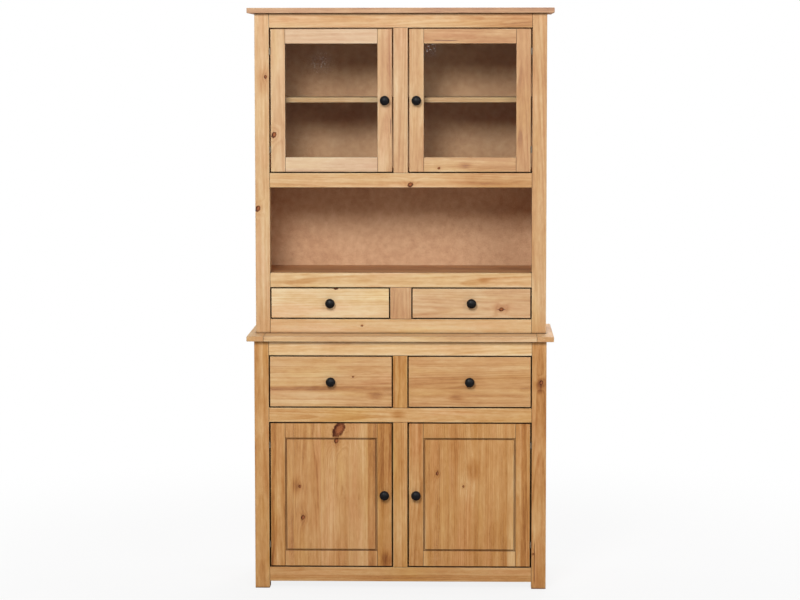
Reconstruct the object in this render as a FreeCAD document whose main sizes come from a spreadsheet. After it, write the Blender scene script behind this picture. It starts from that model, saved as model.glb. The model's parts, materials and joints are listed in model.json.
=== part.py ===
import FreeCAD, Part
import math
import os
import re
import Sketcher

# Kitchen cabinet in solid pine: a base with two panelled doors and two drawers, and on it a hutch
# with an open niche, two small drawers and two glazed doors.
# Millimetres, +Z up, +X to the right of someone who faces it, doors towards -Y.
# The origin is on the floor, in the middle of the width and of the depth.

# Driving sizes, in millimetres
SIZES = [
    # carcass
    ("carcass_width", 904),
    ("base_depth", 380),
    ("hutch_depth", 305),
    ("side_overhang", 22),
    ("front_overhang", 20),
    ("post_width", 45),
    ("post_depth", 45),
    ("rail_height", 45),
    ("rail_thick", 20),
    ("side_thick", 18),
    ("side_reveal", 3),
    ("side_tongue_thick", 6),
    ("side_tongue_depth", 8),
    ("back_thick", 4),
    ("back_rebate", 8),
    ("board_ease", 1.2),
    ("joint_play", 0.2),
    ("cut_overrun", 2),
    # heights, from the floor up
    ("foot_height", 22),
    ("rear_foot_length", 60),
    ("foot_curve_radius", 14),
    ("base_door_opening", 455),
    ("base_drawer_opening", 163),
    ("worktop_thick", 16),
    ("hutch_drawer_opening", 99),
    ("niche_opening", 266),
    ("glass_door_opening", 448),
    ("cornice_thick", 16),
    # worktop ends
    ("worktop_end_width", 52),
    ("end_tongue_thick", 5),
    ("end_tongue_depth", 10),
    ("end_tongue_stop", 25),
    # shelves and inner boards
    ("shelf_thick", 16),
    ("door_stop_lip", 6),
    ("shelf_play", 1),
    ("shelf_set_back", 12),
    ("base_shelf_rise", 215),
    ("glazed_shelf_rise", 211),
    ("pin_diameter", 5),
    ("pin_depth", 10),
    ("pin_stand", 9),
    ("pin_inset", 40),
    # centre posts
    ("centre_post_width", 45),
    ("hutch_drawer_post_width", 66),
    # doors
    ("door_thick", 19.5),
    ("door_frame_width", 45),
    ("door_foot_margin", 48),
    ("door_gap", 4),
    ("door_end_gap", 3.5),
    ("hinge_gap", 4.5),
    ("groove_depth", 8),
    ("tongue_thick", 6),
    ("channel_width", 4.5),
    ("channel_depth", 4),
    ("channel_slope", 20),
    ("glass_thick", 4),
    ("pane_play", 1.5),
    # hinges
    ("hinge_height", 20),
    ("hinge_inset", 62),
    ("leaf_width", 17),
    ("leaf_thick", 1),
    ("knuckle_diameter", 3.6),
    ("hinge_pin_diameter", 1.8),
    ("hinge_play", 0.3),
    # knobs
    ("knob_diameter", 30),
    ("knob_proud", 25),
    ("knob_dome", 8),
    ("knob_rim", 2),
    ("knob_neck_diameter", 11),
    ("knob_neck_height", 8),
    ("knob_neck_radius", 9),
    ("knob_foot_diameter", 16),
    ("knob_foot_height", 2),
    # drawers
    ("drawer_front_thick", 20),
    ("drawer_gap", 3.5),
    ("drawer_side_play", 1),
    ("drawer_side_thick", 12),
    ("base_drawer_side", 120),
    ("hutch_drawer_side", 68),
    ("drawer_bottom_thick", 5),
    ("drawer_bottom_rise", 9),
    ("drawer_groove_depth", 6),
    # runners
    ("runner_thick", 18),
    ("runner_bearing", 17),
    ("guide_height", 16),
    ("running_gap", 0.3),
    ("stop_length", 14),
    ("stop_height", 14),
]

# Places worked out from the driving sizes
PLACES = [
    ("front_y", "-(base_depth - max(knob_proud; front_overhang)) / 2"),
    ("back_y", "front_y + base_depth"),
    ("hutch_front_y", "back_y - hutch_depth"),
    ("inner_back_y", "back_y - back_thick"),
    ("rear_rail_y", "inner_back_y - rail_thick"),
    ("outer_x", "carcass_width / 2"),
    ("opening_x", "outer_x - post_width"),
    ("side_outer_x", "outer_x - side_reveal"),
    ("side_inner_x", "side_outer_x - side_thick"),
    ("side_middle_x", "(side_outer_x + side_inner_x) / 2"),
    ("board_end_x", "outer_x + side_overhang"),
    ("worktop_joint_x", "board_end_x - worktop_end_width"),
    ("post_half", "centre_post_width / 2"),
    ("wide_post_half", "hutch_drawer_post_width / 2"),
    ("base_door_low_z", "foot_height + rail_height"),
    ("base_door_high_z", "base_door_low_z + base_door_opening"),
    ("base_drawer_low_z", "base_door_high_z + rail_height"),
    ("base_drawer_high_z", "base_drawer_low_z + base_drawer_opening"),
    ("base_top_z", "base_drawer_high_z + rail_height"),
    ("worktop_z", "base_top_z + worktop_thick"),
    ("hutch_drawer_low_z", "worktop_z + rail_height"),
    ("hutch_drawer_high_z", "hutch_drawer_low_z + hutch_drawer_opening"),
    ("niche_low_z", "hutch_drawer_high_z + rail_height"),
    ("niche_high_z", "niche_low_z + niche_opening"),
    ("glass_door_low_z", "niche_high_z + rail_height"),
    ("glass_door_high_z", "glass_door_low_z + glass_door_opening"),
    ("hutch_top_z", "glass_door_high_z + rail_height"),
    ("cornice_z", "hutch_top_z + cornice_thick"),
    ("base_shelf_z", "base_door_low_z + door_stop_lip + base_shelf_rise"),
    ("glazed_shelf_z", "glass_door_low_z + door_stop_lip + glazed_shelf_rise"),
    ("hinge_axis_x", "opening_x - hinge_gap / 2"),
    ("knuckle_radius", "knuckle_diameter / 2"),
    ("knuckle_height", "(hinge_height - 2 * hinge_play) / 3"),
    ("dome_radius", "(knob_diameter ^ 2 / 4 + knob_dome ^ 2) / (2 * knob_dome)"),
    ("box_end_y", "rear_rail_y - stop_length - running_gap"),
]

SIDES = (("left", -1), ("right", 1))
ACROSS = FreeCAD.Rotation(FreeCAD.Vector(0, 1, 0), 90)
OUTWARDS = FreeCAD.Rotation(FreeCAD.Vector(1, 0, 0), 90)

doc = FreeCAD.newDocument("KitchenCabinet")
HOME = {}
NODES = []


# Helpers that bind features to the sheets


def bound(text):
    """The text with each named size led by the sheet that holds it."""
    return re.sub(r"[a-z][a-z_0-9]*", lambda word: HOME.get(word.group(), "") + word.group(), text)


def fill_sheet(name, rows, sign=""):
    """A sheet of named cells that hold plain numbers, or formulas when a sign leads them."""
    sheet = doc.addObject("Spreadsheet::Sheet", name)
    for line, (alias, content) in enumerate(rows, start=1):
        sheet.set("A%d" % line, alias)
        sheet.set("B%d" % line, sign + bound(str(content)))
        sheet.setAlias("B%d" % line, alias)
    HOME.update({alias: name + "." for alias, content in rows})
    doc.recompute()


def across(side, near, far):
    """A span measured from the middle of the width, on the right (1) or on the left (-1)."""
    return (near, far) if side > 0 else ("-(%s)" % far, "-(%s)" % near)


def sideways(side, reach):
    return reach if side > 0 else "-(%s)" % reach


def bind_place(item, places):
    for axis, text in zip("xyz", places):
        item.setExpression("Placement.Base." + axis, bound(text))


def new_body(name):
    return doc.addObject("PartDesign::Body", name)


def block(body, kind, name, x, y, z):
    """A rectangular feature between two places each way, added to a body or cut from it."""
    feature = body.newObject("PartDesign::%sBox" % kind, name)
    for size, (low, high) in (("Length", x), ("Width", y), ("Height", z)):
        feature.setExpression(size, bound("(%s) - (%s)" % (high, low)))
    bind_place(feature, (x[0], y[0], z[0]))
    return feature


def rod(body, kind, name, start, diameter, length, turn=None):
    """A round feature from its start along +Z, or along where +Z is turned to."""
    feature = body.newObject("PartDesign::%sCylinder" % kind, name)
    if turn:
        feature.Placement = FreeCAD.Placement(FreeCAD.Vector(), turn)
    feature.setExpression("Radius", bound("(%s) / 2" % diameter))
    feature.setExpression("Height", bound(length))
    bind_place(feature, start)
    return feature


def ease(body, feature):
    """The small bevel that takes the sharpness off every edge of a board."""
    bevel = body.newObject("PartDesign::Chamfer", "Eased_edges")
    bevel.Base = (feature, [""])
    bevel.UseAllEdges = True
    bevel.setExpression("Size", bound("board_ease"))


def board(name, x, y, z):
    """A rectangular board with eased edges, from which a piece may be worked further."""
    body = new_body(name)
    ease(body, block(body, "Additive", "Blank", x, y, z))
    return body


def pair(name, x, y, z):
    """The same board on the left and on the right."""
    return [board("%s_%s" % (name, word), across(side, *x), y, z) for word, side in SIDES]


def arc_between(start, stop, radius, outwards):
    """The arc from start to stop whose centre is on the left of the way, or on its right."""
    half = (stop - start) / 2
    reach = math.sqrt(max(radius ** 2 - half.Length ** 2, 0))
    left = FreeCAD.Vector(-half.y, half.x, 0).normalize()
    centre = start + half + left * (reach if outwards else -reach)
    first, last = (start, stop) if outwards else (stop, start)
    angles = [math.atan2(point.y - centre.y, point.x - centre.x) for point in (first, last)]
    return Part.ArcOfCircle(Part.Circle(centre, FreeCAD.Vector(0, 0, 1), radius), *angles)


def outline(body, role, corners, lift="0"):
    """A closed counterclockwise outline on or above one of the body's planes, held by named sizes.

    Each corner is its two places. A third entry makes the stretch after it an arc of that radius,
    which bulges outwards, or inwards where the radius has a minus before it.
    """
    sketch = body.newObject("Sketcher::SketchObject", "Outline")
    plane = [item for item in body.Origin.OriginFeatures if item.Role == role][0]
    sketch.AttachmentSupport = [(plane, "")]
    sketch.MapMode = "FlatFace"
    sketch.setExpression("AttachmentOffset.Base.z", bound(lift))
    points = [FreeCAD.Vector(*[float(sketch.evalExpression(bound(text))) for text in corner[:2]])
              for corner in corners]
    ends = []
    for index, corner in enumerate(corners):
        start, stop = points[index], points[(index + 1) % len(corners)]
        outwards = len(corner) < 3 or not corner[2].startswith("-")
        ends.append((1, 2) if outwards else (2, 1))
        if len(corner) < 3:
            sketch.addGeometry(Part.LineSegment(start, stop), False)
            continue
        radius_text = corner[2].lstrip("-")
        radius = float(sketch.evalExpression(bound(radius_text)))
        sketch.addGeometry(arc_between(start, stop, radius, outwards), False)
        held = sketch.addConstraint(Sketcher.Constraint("Radius", index, radius))
        sketch.setExpression("Constraints[%d]" % held, bound(radius_text))
    for index, corner in enumerate(corners):
        following = (index + 1) % len(corners)
        sketch.addConstraint(Sketcher.Constraint(
            "Coincident", index, ends[index][1], following, ends[following][0]))
        for kind, text, value in zip(("DistanceX", "DistanceY"), corner, points[index]):
            held = sketch.addConstraint(
                Sketcher.Constraint(kind, -1, 1, index, ends[index][0], value))
            sketch.setExpression("Constraints[%d]" % held, bound(text))
    return sketch


def pad(body, role, corners, length, both_ways=False, lift="0", lean=None):
    """A piece of one section: an outline drawn out by a length, or by half of it each way.

    It starts at the lift above its plane, and its sides may lean inwards on the way.
    """
    feature = body.newObject("PartDesign::Pad", "Stock")
    feature.Profile = outline(body, role, corners, lift)
    feature.setExpression("Length", bound(length))
    if both_ways:
        feature.SideType = "Symmetric"
    if lean:
        feature.setExpression("TaperAngle", bound(lean))


def node(name, pieces):
    """One named sub-part: a single piece, or a group of separate pieces."""
    if len(pieces) == 1:
        item = pieces[0]
    else:
        item = doc.addObject("Part::Compound", name)
        item.Links = pieces
    item.Label = name
    NODES.append(item)


# Carcass


def front_posts(name, front, low, high, foot):
    """Square posts, grooved at the back for the side panels."""
    posts = pair(name, ("opening_x", "outer_x"), (front, front + " + post_depth"), (low, high))
    for post, (word, side) in zip(posts, SIDES):
        half = "(side_tongue_thick / 2 + joint_play)"
        block(post, "Subtractive", "Side_groove",
              across(side, "side_middle_x - " + half, "side_middle_x + " + half),
              (front + " + post_depth - side_tongue_depth - joint_play",
               front + " + post_depth + cut_overrun"),
              (foot, high + " + cut_overrun"))
    node(name, posts)


def pin_rows(front):
    """Where along the depth the front and the rear shelf pins stand."""
    return front + " + shelf_set_back + pin_inset", "inner_back_y - pin_inset"


def side_panels(name, front, corners, low, high, shelf_z):
    """Side boards with a tongue for the post, a rebate for the back and holes for shelf pins."""
    panels = []
    inner_face = "-side_thick / 2"
    for word, side in SIDES:
        body = new_body("%s_%s" % (name, word))
        pad(body, "YZ_Plane", corners, "side_thick", both_ways=True)
        block(body, "Additive", "Front_tongue",
              ("-side_tongue_thick / 2", "side_tongue_thick / 2"),
              (front + " - side_tongue_depth", front + " + joint_play"), (low, high))
        block(body, "Subtractive", "Back_rebate",
              across(side, inner_face + " - cut_overrun", inner_face + " + back_rebate"),
              ("inner_back_y", "back_y + cut_overrun"), (low, high + " + cut_overrun"))
        hole = across(side, inner_face + " - cut_overrun",
                      inner_face + " + pin_depth + joint_play")
        for row, place in enumerate(pin_rows(front)):
            rod(body, "Subtractive", "Pin_hole_%d" % row,
                (hole[0], place, shelf_z + " - pin_diameter / 2"),
                "pin_diameter + joint_play", "pin_depth + joint_play + cut_overrun", ACROSS)
        bind_place(body, (sideways(side, "side_middle_x"), "0", "0"))
        panels.append(body)
    node(name, panels)


def base_side_panels():
    """Base sides, cut away below so that a rear foot is left at the back."""
    front = "front_y + post_depth"
    heel = "back_y - rear_foot_length"
    corners = [
        (front, "foot_height"),
        (heel + " - foot_curve_radius", "foot_height", "-foot_curve_radius"),
        (heel, "foot_height - foot_curve_radius"),
        (heel, "0"),
        ("back_y", "0"),
        ("back_y", "base_top_z"),
        (front, "base_top_z"),
    ]
    side_panels("base_side_panels", front, corners, "foot_height", "base_top_z", "base_shelf_z")


def hutch_side_panels():
    front = "hutch_front_y + post_depth"
    corners = [(front, "worktop_z"), ("back_y", "worktop_z"), ("back_y", "hutch_top_z"),
               (front, "hutch_top_z")]
    side_panels("hutch_side_panels", front, corners, "worktop_z", "hutch_top_z",
                "glazed_shelf_z")


def rail(name, front, low):
    """A rail of the front frame, between the posts."""
    node(name, [board(name, ("-opening_x", "opening_x"), (front, front + " + rail_thick"),
                      (low, low + " + rail_height"))])


def centre_posts(name, front, parts):
    """The upright pieces in the middle of the front frame, one between each two rails."""
    node(name, [board("%s_%s" % (name, word), ("-" + half, half),
                      (front, front + " + rail_thick"), (low, high))
                for word, half, low, high in parts])


def rear_rails():
    """Rails across the back: under the worktop, and behind both rows of drawer runners."""
    lows = ("base_top_z - rail_height", "base_drawer_low_z - rail_height", "worktop_z")
    node("rear_rails", [board("rear_rail_%d" % count, ("-side_inner_x", "side_inner_x"),
                              ("rear_rail_y", "inner_back_y"), (low, low + " + rail_height"))
                        for count, low in enumerate(lows)])


def notched_board(name, front, top):
    """A board behind a front rail, notched at its front corners around the posts."""
    body = new_body(name)
    behind_rail = front + " + rail_thick"
    behind_post = front + " + post_depth"
    pad(body, "XY_Plane", [
        ("-opening_x", behind_rail),
        ("opening_x", behind_rail),
        ("opening_x", behind_post),
        ("side_inner_x", behind_post),
        ("side_inner_x", "inner_back_y"),
        ("-side_inner_x", "inner_back_y"),
        ("-side_inner_x", behind_post),
        ("-opening_x", behind_post),
    ], "shelf_thick")
    bind_place(body, ("0", "0", top + " - shelf_thick"))
    node(name, [body])


def loose_shelf(name, front, low):
    """A shelf that rests on pins, behind the posts."""
    node(name, [board(name, ("-side_inner_x + shelf_play", "side_inner_x - shelf_play"),
                      (front + " + post_depth + shelf_set_back", "inner_back_y - shelf_play"),
                      (low, low + " + shelf_thick"))])


def shelf_pins():
    """Round metal pins in the sides, two under each end of both shelves."""
    pins = []
    for word, side in SIDES:
        for unit, front, low in (("base", "front_y", "base_shelf_z"),
                                 ("hutch", "hutch_front_y", "glazed_shelf_z")):
            for row, place in enumerate(pin_rows(front + " + post_depth")):
                body = new_body("shelf_pin_%s_%s_%d" % (unit, word, row))
                start = across(side, "side_inner_x - pin_stand", "side_inner_x + pin_depth")[0]
                rod(body, "Additive", "Pin", (start, place, low + " - pin_diameter / 2"),
                    "pin_diameter", "pin_stand + pin_depth", ACROSS)
                pins.append(body)
    node("shelf_pins", pins)


def back_panel(name, low, high):
    """A thin sheet in the rebates of the sides."""
    reach = "(side_inner_x + back_rebate - joint_play)"
    body = new_body(name)
    block(body, "Additive", "Sheet", ("-" + reach, reach), ("inner_back_y", "back_y"),
          (low, high))
    node(name, [body])


def worktop():
    """The worktop board, with a tongue at each end, and the cross-grained ends grooved for it."""
    depth = ("front_y - front_overhang", "back_y")
    height = ("base_top_z", "worktop_z")
    middle = "(base_top_z + worktop_z) / 2"
    main = board("worktop", ("-worktop_joint_x", "worktop_joint_x"), depth, height)
    block(main, "Additive", "End_tongues",
          ("-worktop_joint_x - end_tongue_depth", "worktop_joint_x + end_tongue_depth"),
          (depth[0] + " + end_tongue_stop", "back_y - end_tongue_stop"),
          (middle + " - end_tongue_thick / 2", middle + " + end_tongue_thick / 2"))
    node("worktop", [main])
    ends = pair("worktop_ends", ("worktop_joint_x", "board_end_x"), depth, height)
    for end, (word, side) in zip(ends, SIDES):
        half = "(end_tongue_thick / 2 + joint_play)"
        block(end, "Subtractive", "Tongue_groove",
              across(side, "worktop_joint_x - cut_overrun",
                     "worktop_joint_x + end_tongue_depth + joint_play"),
              (depth[0] + " + end_tongue_stop - joint_play",
               "back_y - end_tongue_stop + joint_play"),
              (middle + " - " + half, middle + " + " + half))
    node("worktop_ends", ends)


def cornice_board():
    node("cornice_board", [board("cornice_board", ("-board_end_x", "board_end_x"),
                                 ("hutch_front_y - front_overhang", "back_y"),
                                 ("hutch_top_z", "cornice_z"))])


# Knobs


def knob(name, x, front, z):
    """A turned mushroom knob: foot, waisted neck, flared underside, rim and low dome."""
    body = new_body(name)
    dome_z = "knob_proud - knob_dome"
    turned = body.newObject("PartDesign::Revolution", "Turned_form")
    turned.Profile = outline(body, "XZ_Plane", [
        ("0", "0"),
        ("knob_foot_diameter / 2", "0"),
        ("knob_foot_diameter / 2", "knob_foot_height", "-knob_neck_radius"),
        ("knob_neck_diameter / 2", "knob_neck_height"),
        ("knob_diameter / 2", dome_z + " - knob_rim"),
        ("knob_diameter / 2", dome_z, "dome_radius"),
        ("0", "knob_proud"),
    ])
    turned.ReferenceAxis = (turned.Profile[0], ["V_Axis"])
    body.Placement = FreeCAD.Placement(FreeCAD.Vector(), OUTWARDS)
    bind_place(body, (x, front, z))
    node(name, [body])


# Hinges


def hinge_lows(low, high):
    """Where the lower and the upper hinge of a door begin."""
    return low + " + hinge_inset", high + " - hinge_inset - hinge_height"


def knuckle_span(low, third):
    """The height of one of the three knuckles of a hinge, counted from below."""
    start = "%s + %d * (knuckle_height + hinge_play)" % (low, third)
    return start, start + " + knuckle_height"


def hinge_leaf(name, side, front, low, near, thirds):
    """A flat leaf with its knuckles rolled round the pin's line, in the gap beside a door."""
    body = new_body(name)
    wide = across(side, near, near + " + leaf_thick")
    clear = front + " + knuckle_radius + hinge_play"
    block(body, "Additive", "Leaf", wide, (clear, front + " + leaf_width"),
          (low, low + " + hinge_height"))
    axis = sideways(side, "hinge_axis_x")
    for third in thirds:
        height = knuckle_span(low, third)
        block(body, "Additive", "Neck_%d" % third, wide, (front, clear), height)
        rod(body, "Additive", "Knuckle_%d" % third, (axis, front, height[0]),
            "knuckle_diameter", "knuckle_height")
    return body, axis


def fixed_leaves():
    """The leaves on the posts, with the lowest and the highest knuckle and the pin."""
    leaves = []
    for word, side in SIDES:
        for unit, front, low, high in (
                ("base", "front_y", "base_door_low_z", "base_door_high_z"),
                ("hutch", "hutch_front_y", "glass_door_low_z", "glass_door_high_z")):
            for count, start in enumerate(hinge_lows(low, high)):
                body, axis = hinge_leaf("post_leaf_%s_%s_%d" % (unit, word, count), side, front,
                                        start, "opening_x - leaf_thick", (0, 2))
                rod(body, "Additive", "Pin", (axis, front, start), "hinge_pin_diameter",
                    "hinge_height")
                leaves.append(body)
    node("hinge_leaves", leaves)


def moving_leaves(name, side, front, low, high):
    """The leaves on a door's edge, each with the middle knuckle, bored for the pin."""
    leaves = []
    for count, start in enumerate(hinge_lows(low, high)):
        body, axis = hinge_leaf("%s_%d" % (name, count), side, front, start,
                                "opening_x - hinge_gap", (1,))
        rod(body, "Subtractive", "Pin_bore", (axis, front, start),
            "hinge_pin_diameter + 2 * hinge_play", "hinge_height")
        leaves.append(body)
    node(name, leaves)


# Doors


def door_places(low, high):
    """The span across of a door and its height, inside its opening."""
    return ("post_half + door_gap", "opening_x - hinge_gap",
            low + " + door_end_gap", high + " - door_end_gap")


def mid_span(front, thick, play="0"):
    """The span of a thickness, with some play each way, about the middle of a door's thickness."""
    return ("%s + (door_thick - %s) / 2 - %s" % (front, thick, play),
            "%s + (door_thick + %s) / 2 + %s" % (front, thick, play))


def between_stiles(side, low, high, inwards):
    """The span across between a door's stiles, less an amount at each end."""
    near, far, bottom, top = door_places(low, high)
    return across(side, "%s + door_frame_width + (%s)" % (near, inwards),
                  "%s - door_frame_width - (%s)" % (far, inwards))


def door_stiles(name, side, front, low, high, sheet_thick):
    """Two full-height stiles, grooved along their inner edges."""
    near, far, bottom, top = door_places(low, high)
    lock_edge, hinge_edge = near + " + door_frame_width", far + " - door_frame_width"
    depth = " (groove_depth + joint_play)"
    stiles = []
    for word, span, cut in (
            ("lock", (near, lock_edge), (lock_edge + " -" + depth, lock_edge + " + cut_overrun")),
            ("hinge", (hinge_edge, far), (hinge_edge + " - cut_overrun", hinge_edge + " +" + depth))):
        stile = board("%s_stile_%s" % (name, word), across(side, *span),
                      (front, front + " + door_thick"), (bottom, top))
        block(stile, "Subtractive", "Groove", across(side, *cut),
              mid_span(front, sheet_thick, "joint_play"),
              (bottom + " - cut_overrun", top + " + cut_overrun"))
        stiles.append(stile)
    node(name + "_stiles", stiles)


def door_rails(name, side, front, low, high):
    """A foot rail and a head rail, grooved for the pane, with a stub tenon for each stile."""
    near, far, bottom, top = door_places(low, high)
    foot_edge, head_edge = bottom + " + door_frame_width", top + " - door_frame_width"
    depth = " (groove_depth + joint_play)"
    rails = []
    for word, height, cut, tenon in (
            ("foot", (bottom, foot_edge), (foot_edge + " -" + depth, foot_edge + " + cut_overrun"),
             (bottom + " + board_ease", foot_edge + " -" + depth)),
            ("head", (head_edge, top), (head_edge + " - cut_overrun", head_edge + " +" + depth),
             (head_edge + " +" + depth, top + " - board_ease"))):
        piece = board("%s_rail_%s" % (name, word), between_stiles(side, low, high, "0"),
                      (front, front + " + door_thick"), height)
        block(piece, "Subtractive", "Groove", between_stiles(side, low, high, "-cut_overrun"),
              mid_span(front, "glass_thick", "joint_play"), cut)
        block(piece, "Additive", "Tenons", between_stiles(side, low, high, "-groove_depth"),
              mid_span(front, "glass_thick"), tenon)
        rails.append(piece)
    node(name + "_rails", rails)


def glass_pane(name, side, front, low, high):
    """The pane stands in the foot rail's groove, and has some play in the other three."""
    near, far, bottom, top = door_places(low, high)
    body = new_body(name)
    block(body, "Additive", "Pane", between_stiles(side, low, high, "pane_play - groove_depth"),
          mid_span(front, "glass_thick"),
          (bottom + " + door_frame_width - groove_depth",
           top + " - door_frame_width + groove_depth - pane_play"))
    node(name, [body])


def door_board(name, side, front, low, high):
    """The upright-grained board between the stiles of a panelled door, tongued into both.

    A channel runs round its raised field, from stile to stile, so that the board looks like a
    panel in a frame.
    """
    near, far, bottom, top = door_places(low, high)
    body = board(name, between_stiles(side, low, high, "0"), (front, front + " + door_thick"),
                 (bottom, top))
    channel_floor = front + " + channel_depth"
    foot_edge, head_edge = bottom + " + door_foot_margin", top + " - door_frame_width"
    block(body, "Subtractive", "Sunk_middle", between_stiles(side, low, high, "-cut_overrun"),
          (front + " - cut_overrun", channel_floor), (foot_edge, head_edge))
    left, right = between_stiles(side, low, high, "channel_width")
    under, over = foot_edge + " + channel_width", head_edge + " - channel_width"
    pad(body, "XZ_Plane", [(left, under), (right, under), (right, over), (left, over)],
        "channel_depth", lift="-(%s)" % channel_floor, lean="-channel_slope")
    block(body, "Additive", "Tongues", between_stiles(side, low, high, "-groove_depth"),
          mid_span(front, "tongue_thick"), (bottom + " + board_ease", top + " - board_ease"))
    node(name, [body])


def hang_door(name, side, front, low, high):
    """The knob on a door's free stile, and the leaves on its other edge."""
    near, far, bottom, top = door_places(low, high)
    knob(name + "_knob", sideways(side, near + " + door_frame_width / 2"), front,
         "(%s + %s) / 2" % (bottom, top))
    moving_leaves(name + "_hinge_leaves", side, front, low, high)


# Drawers and runners


def drawer(name, side, front, half, low, high, side_height):
    """One drawer, closed: front, knob, and a box with its bottom in grooves."""
    near, far = half + " + drawer_side_play", "opening_x - drawer_side_play"
    back_face = front + " + drawer_front_thick"
    base = low + " + running_gap"
    top = "%s + %s" % (base, side_height)
    bottom = (base + " + drawer_bottom_rise", base + " + drawer_bottom_rise + drawer_bottom_thick")
    slot = (bottom[0] + " - joint_play", bottom[1] + " + joint_play")
    inner = (near + " + drawer_side_thick", far + " - drawer_side_thick")
    grown = (inner[0] + " - drawer_groove_depth", inner[1] + " + drawer_groove_depth")

    face = board(name + "_front", across(side, half + " + drawer_gap", "opening_x - drawer_gap"),
                 (front, back_face), (low + " + drawer_gap", high + " - drawer_gap"))
    block(face, "Subtractive", "Bottom_groove",
          across(side, grown[0] + " - joint_play", grown[1] + " + joint_play"),
          (back_face + " - drawer_groove_depth - joint_play", back_face + " + cut_overrun"), slot)
    node(name + "_front", [face])

    sides = []
    for word, span, cut in (("near", (near, inner[0]),
                             (grown[0] + " - joint_play", inner[0] + " + cut_overrun")),
                            ("far", (inner[1], far),
                             (inner[1] + " - cut_overrun", grown[1] + " + joint_play"))):
        piece = board("%s_side_%s" % (name, word), across(side, *span), (back_face, "box_end_y"),
                      (base, top))
        block(piece, "Subtractive", "Bottom_groove", across(side, *cut),
              (back_face + " - cut_overrun", "box_end_y + cut_overrun"), slot)
        sides.append(piece)
    back = board(name + "_box_back", across(side, *inner),
                 ("box_end_y - drawer_side_thick", "box_end_y"), (bottom[1], top))
    sheet = new_body(name + "_bottom")
    block(sheet, "Additive", "Sheet", across(side, *grown),
          (back_face + " - drawer_groove_depth", "box_end_y"), bottom)
    node(name + "_box", sides + [back, sheet])

    knob(name + "_knob", sideways(side, "(%s + opening_x) / 2" % half), front,
         "(%s + %s) / 2" % (low, high))


def runners(unit, front, half, low):
    """Bearers with guides: one on each side panel and a wider one between the drawers."""
    under = low + " - runner_thick"
    guide = low + " + guide_height"
    inner = "opening_x - runner_bearing"
    made = []
    for word, side in SIDES:
        body = new_body("runner_%s_%s" % (unit, word))
        corners = [(inner, under), ("side_inner_x", under), ("side_inner_x", guide),
                   ("opening_x", guide), ("opening_x", low), (inner, low)]
        corners = [(sideways(side, reach), height) for reach, height in corners]
        pad(body, "XZ_Plane", corners, "rear_rail_y - (%s + post_depth)" % front)
        bind_place(body, ("0", "rear_rail_y", "0"))
        made.append(body)
    body = new_body("runner_%s_middle" % unit)
    bearing = half + " + runner_bearing"
    right = [(bearing, under), (bearing, low), (half, low), (half, guide)]
    left = [("-(%s)" % reach, height) for reach, height in reversed(right)]
    pad(body, "XZ_Plane", right + left, "rear_rail_y - (%s + rail_thick)" % front)
    bind_place(body, ("0", "rear_rail_y", "0"))
    made.append(body)
    return made


def stops(unit, half, low):
    """Blocks on the bearers' rear ends that halt the drawer sides when the front is flush."""
    made = []
    for word, side in SIDES:
        for place, near in (("near", half + " + drawer_side_play"),
                            ("far", "opening_x - drawer_side_play - drawer_side_thick")):
            made.append(board("stop_%s_%s_%s" % (unit, word, place),
                              across(side, near, near + " + drawer_side_thick"),
                              ("rear_rail_y - stop_length", "rear_rail_y"),
                              (low, low + " + stop_height")))
    return made


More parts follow.
